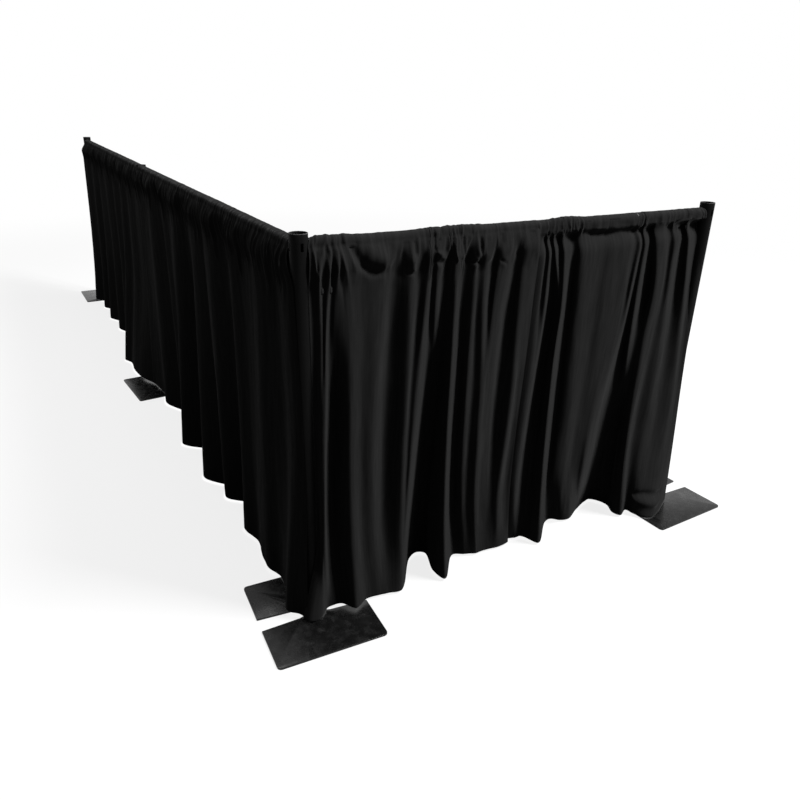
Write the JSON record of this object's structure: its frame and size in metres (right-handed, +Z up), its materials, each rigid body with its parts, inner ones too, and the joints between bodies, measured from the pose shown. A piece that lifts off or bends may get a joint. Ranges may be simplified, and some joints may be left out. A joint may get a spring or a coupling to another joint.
{
  "type": "pipe and drape backdrop",
  "caption": "Low pipe and drape backdrop: dark drapes gathered on telescoping crossbars that hook into slotted uprights, set on flat base plates in an L with one long wing.",
  "frame": {"origin": "middle of the backdrop's footprint, on the floor", "axes": "+Z up; +X along the short wing, from the corner to its free end; +Y along the long wing, from the corner to its free end"},
  "size_m": [1.9592, 4.7492, 1.2192],
  "materials": {
    "tube_enamel": "satin black enamel, rubbed at the rims and slots",
    "plate_enamel": "semi-matt black enamel, scuffed and dusty",
    "pin_aluminium": "turned, bare",
    "bar_aluminium": "drawn tube, bare, lightly scored lengthwise",
    "zinc_hardware": "zinc plated",
    "black_nylon": "moulded, matt",
    "drape_cloth": "black woven polyester with a low sheen"
  },
  "bodies": {
    "corner_post": {"corner_upright": "tube_enamel", "right_bar_outer_tube": "tube_enamel", "right_bar_outer_hook": "zinc_hardware", "right_bar_outer_rivet": "zinc_hardware", "right_bar_mouth_bush": "black_nylon", "near_bar_outer_tube": "tube_enamel", "near_bar_outer_hook": "zinc_hardware", "near_bar_outer_rivet": "zinc_hardware", "near_bar_mouth_bush": "black_nylon", "right_drape_1": "drape_cloth", "near_drape_1": "drape_cloth"},
    "right_post": {"right_upright": "tube_enamel", "right_bar_inner_tube": "bar_aluminium", "right_bar_inner_hook": "zinc_hardware", "right_bar_inner_rivet": "zinc_hardware", "right_bar_guide_plug": "black_nylon", "right_drape_2": "drape_cloth"},
    "middle_post": {"middle_upright": "tube_enamel", "near_bar_inner_tube": "bar_aluminium", "near_bar_inner_hook": "zinc_hardware", "near_bar_inner_rivet": "zinc_hardware", "near_bar_guide_plug": "black_nylon", "far_bar_outer_tube": "tube_enamel", "far_bar_outer_hook": "zinc_hardware", "far_bar_outer_rivet": "zinc_hardware", "far_bar_mouth_bush": "black_nylon", "near_drape_2": "drape_cloth", "far_drape_1": "drape_cloth"},
    "left_post": {"left_upright": "tube_enamel", "far_bar_inner_tube": "bar_aluminium", "far_bar_inner_hook": "zinc_hardware", "far_bar_inner_rivet": "zinc_hardware", "far_bar_guide_plug": "black_nylon", "far_drape_2": "drape_cloth"},
    "corner_base": {"corner_base_plate": "plate_enamel", "corner_base_pin": "pin_aluminium", "corner_pin_bolt": "zinc_hardware", "corner_lock_washer": "zinc_hardware", "corner_pin_nut": "zinc_hardware"},
    "right_base": {"right_base_plate": "plate_enamel", "right_base_pin": "pin_aluminium", "right_pin_bolt": "zinc_hardware", "right_lock_washer": "zinc_hardware", "right_pin_nut": "zinc_hardware"},
    "middle_base": {"middle_base_plate": "plate_enamel", "middle_base_pin": "pin_aluminium", "middle_pin_bolt": "zinc_hardware", "middle_lock_washer": "zinc_hardware", "middle_pin_nut": "zinc_hardware"},
    "left_base": {"left_base_plate": "plate_enamel", "left_base_pin": "pin_aluminium", "left_pin_bolt": "zinc_hardware", "left_lock_washer": "zinc_hardware", "left_pin_nut": "zinc_hardware"}
  },
  "joints": [
    {"name": "right_bar_slide", "type": "slide", "parent": "corner_post", "child": "right_post", "axis": [1, 0, 0], "range_m": [-0.288, 0.6264], "deforming": ["right_drape_1", "right_drape_2"]},
    {"name": "near_bar_slide", "type": "slide", "parent": "corner_post", "child": "middle_post", "axis": [0, 1, 0], "range_m": [-0.907, 0.0074], "deforming": ["near_drape_1", "near_drape_2"]},
    {"name": "far_bar_slide", "type": "slide", "parent": "middle_post", "child": "left_post", "axis": [0, 1, 0], "range_m": [-0.908, 0.0064], "deforming": ["far_drape_1", "far_drape_2"]},
    {"name": "corner_base_swivel", "type": "hinge", "parent": "corner_post", "child": "corner_base", "pos_m": [-0.76276, -2.16308, 0.07], "axis": [0, 0, 1], "continuous": true},
    {"name": "right_base_swivel", "type": "hinge", "parent": "right_post", "child": "right_base", "pos_m": [0.79524, -2.16308, 0.07], "axis": [0, 0, 1], "continuous": true},
    {"name": "middle_base_swivel", "type": "hinge", "parent": "middle_post", "child": "middle_base", "pos_m": [-0.76276, 0.01392, 0.07], "axis": [0, 0, 1], "continuous": true},
    {"name": "left_base_swivel", "type": "hinge", "parent": "left_post", "child": "left_base", "pos_m": [-0.76276, 2.19192, 0.07], "axis": [0, 0, 1], "continuous": true}
  ]
}
